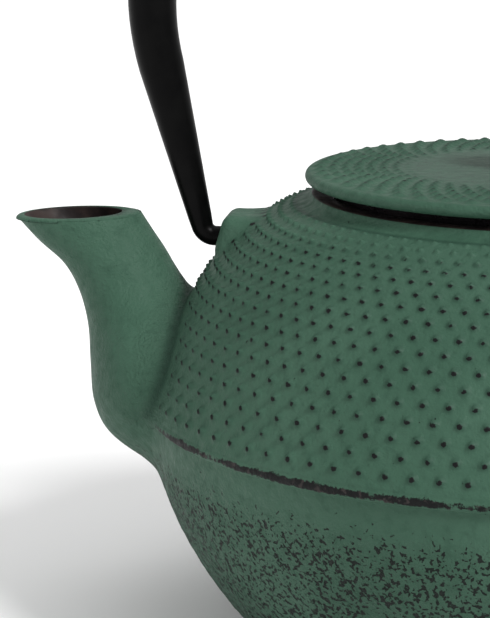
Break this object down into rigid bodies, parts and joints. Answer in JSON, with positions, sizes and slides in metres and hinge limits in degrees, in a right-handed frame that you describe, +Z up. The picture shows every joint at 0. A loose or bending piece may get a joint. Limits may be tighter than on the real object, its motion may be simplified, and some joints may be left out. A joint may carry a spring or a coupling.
{
  "type": "cast iron teapot",
  "caption": "Round cast iron teapot with a studded shoulder, short wide-rooted spout, folding bail handle, lift-off knobbed lid and a stainless infuser basket.",
  "frame": {"origin": "centre of the foot ring's resting plane, on the pot's axis", "axes": "+Z up along the pot's axis, -X towards the spout, the handle's hinge line along X, the handle folds towards +Y and -Y"},
  "size_m": [0.199, 0.1668, 0.1932],
  "materials": {
    "painted_iron": "matt green paint, worn to dark iron on the stud tips and the ridge; black enamel inside",
    "black_steel": "satin black",
    "stainless": "brushed",
    "stainless_mesh": "fine woven mesh"
  },
  "bodies": {
    "pot": {"pot_body": "painted_iron", "pot_spout": "painted_iron", "pot_collar": "painted_iron"},
    "infuser": {"infuser_collar": "stainless", "infuser_mesh": "stainless_mesh", "infuser_base": "stainless"},
    "lid": {"lid": "painted_iron", "lid_knob": "painted_iron", "knob_washer": "stainless"},
    "handle": {"handle": "black_steel"}
  },
  "joints": [
    {"name": "handle_fold", "type": "hinge", "parent": "pot", "child": "handle", "pos_m": [0, 0, 0.083], "axis": [1, 0, 0], "range_deg": [-90, 90]},
    {"name": "infuser_lift", "type": "slide", "parent": "pot", "child": "infuser", "axis": [0, 0, 1], "range_m": [0, 0.05]},
    {"name": "lid_lift", "type": "slide", "parent": "infuser", "child": "lid", "axis": [0, 0, 1], "range_m": [0, 0.012]}
  ]
}
